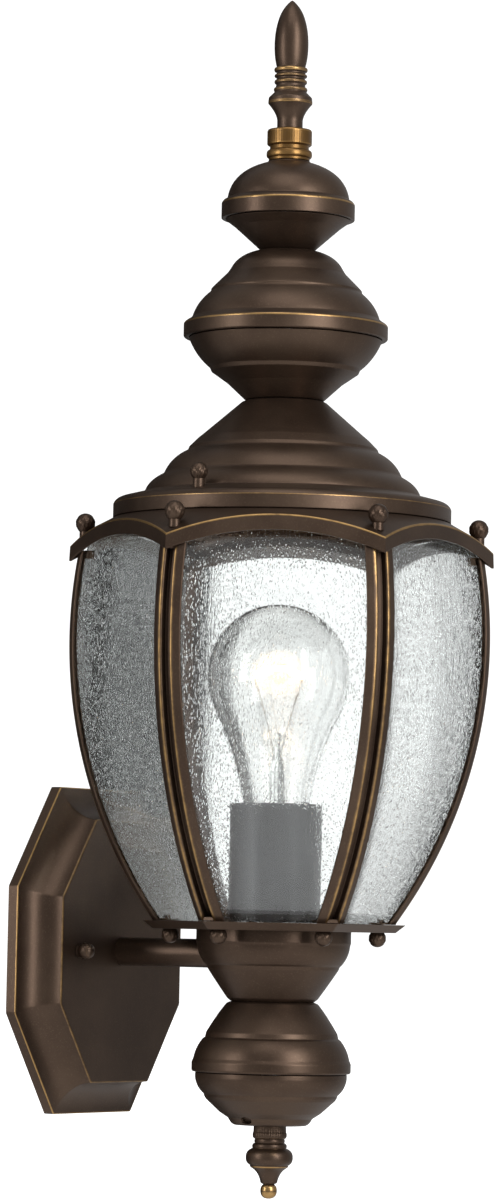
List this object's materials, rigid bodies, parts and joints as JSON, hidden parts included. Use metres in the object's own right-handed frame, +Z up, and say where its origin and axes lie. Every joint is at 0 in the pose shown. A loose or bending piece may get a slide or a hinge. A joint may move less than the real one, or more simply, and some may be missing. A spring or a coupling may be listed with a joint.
{
  "type": "outdoor wall lantern",
  "caption": "Six-sided wall lantern: bent seeded glass between bowed ribs, a tall stack of spun metal shells, and an arm on an octagonal back plate.",
  "frame": {"origin": "centre of the mounting bar's wall face, on the arm's centre line", "axes": "+Z up, +Y into the wall, +X to the right for a viewer facing the wall"},
  "size_m": [0.1814, 0.1749, 0.5124],
  "materials": {
    "bronze": "antique bronze paint, satin, rubbed to brass along edges",
    "rubbed_brass": "aged brass, knurled, dark in the grooves",
    "seeded_glass": "clear bent glass full of seeds and drawn streaks",
    "clear_glass": "thin clear lamp glass",
    "sleeve_grey": "matt dark grey sleeve",
    "phenolic": "matt black moulded lampholder",
    "zinc": "zinc plated steel",
    "cap_brass": "bright rolled lamp cap",
    "insulation": "black lead insulation"
  },
  "bodies": {
    "lantern": {"crown": "bronze", "bottom_tray": "bronze", "base_cup": "bronze", "knob_upper": "bronze", "knob_lower": "bronze", "back_plate": "bronze", "arm_tube": "bronze", "crown_nut_1": "bronze", "rib_1": "bronze", "tray_nut_1": "bronze", "glass_1": "seeded_glass", "crown_nut_2": "bronze", "rib_2": "bronze", "tray_nut_2": "bronze", "glass_2": "seeded_glass", "crown_nut_3": "bronze", "rib_3": "bronze", "tray_nut_3": "bronze", "glass_3": "seeded_glass", "crown_nut_4": "bronze", "rib_4": "bronze", "tray_nut_4": "bronze", "glass_4": "seeded_glass", "crown_nut_5": "bronze", "rib_5": "bronze", "tray_nut_5": "bronze", "glass_5": "seeded_glass", "crown_nut_6": "bronze", "rib_6": "bronze", "tray_nut_6": "bronze", "glass_6": "seeded_glass", "base_stem": "zinc", "arm_nut_cup": "zinc", "arm_nut_wall": "zinc", "mounting_bar": "zinc", "canopy_stud_1": "zinc", "canopy_stud_2": "zinc", "ground_screw": "cap_brass", "socket_sleeve": "sleeve_grey", "lampholder": "phenolic", "lead_line": "insulation", "lead_neutral": "insulation"},
    "roof": {"roof": "bronze", "cap_dome": "bronze", "cap_cone": "bronze", "bowl_upper": "bronze", "bowl_lower": "bronze", "stack_rod": "zinc", "stack_nut": "zinc", "finial_collar": "rubbed_brass"},
    "finial_top": {"finial_top": "bronze"},
    "roof_screw_1": {"roof_screw_1": "bronze"},
    "roof_screw_2": {"roof_screw_2": "bronze"},
    "bulb": {"bulb_glass": "clear_glass", "bulb_cap": "cap_brass", "bulb_mount": "clear_glass"},
    "finial_bottom": {"finial_bottom": "bronze"},
    "canopy_nut_1": {"canopy_nut_1": "bronze"},
    "canopy_nut_2": {"canopy_nut_2": "bronze"}
  },
  "joints": [
    {"name": "roof_lift", "type": "slide", "parent": "lantern", "child": "roof", "axis": [0, 0, 1], "range_m": [0, 0.12]},
    {"name": "finial_top_turn", "type": "hinge", "parent": "roof", "child": "finial_top", "pos_m": [0, -0.0955, 0.36], "axis": [0, 0, 1], "continuous": true},
    {"name": "roof_screw_1_turn", "type": "hinge", "parent": "roof", "child": "roof_screw_1", "pos_m": [-0.06398, -0.09405, 0.2], "axis": [0, 0, 1], "continuous": true},
    {"name": "roof_screw_2_turn", "type": "hinge", "parent": "roof", "child": "roof_screw_2", "pos_m": [0.06398, -0.09695, 0.2], "axis": [0, 0, 1], "continuous": true},
    {"name": "bulb_turn", "type": "hinge", "parent": "lantern", "child": "bulb", "pos_m": [0, -0.0955, 0.06], "axis": [0, 0, 1], "continuous": true},
    {"name": "finial_bottom_turn", "type": "hinge", "parent": "lantern", "child": "finial_bottom", "pos_m": [0, -0.0955, -0.08], "axis": [0, 0, 1], "continuous": true},
    {"name": "canopy_nut_1_turn", "type": "hinge", "parent": "lantern", "child": "canopy_nut_1", "pos_m": [-0.034, -0.0195, 0], "axis": [0, -1, 0], "continuous": true},
    {"name": "canopy_nut_2_turn", "type": "hinge", "parent": "lantern", "child": "canopy_nut_2", "pos_m": [0.034, -0.0195, 0], "axis": [0, -1, 0], "continuous": true}
  ]
}
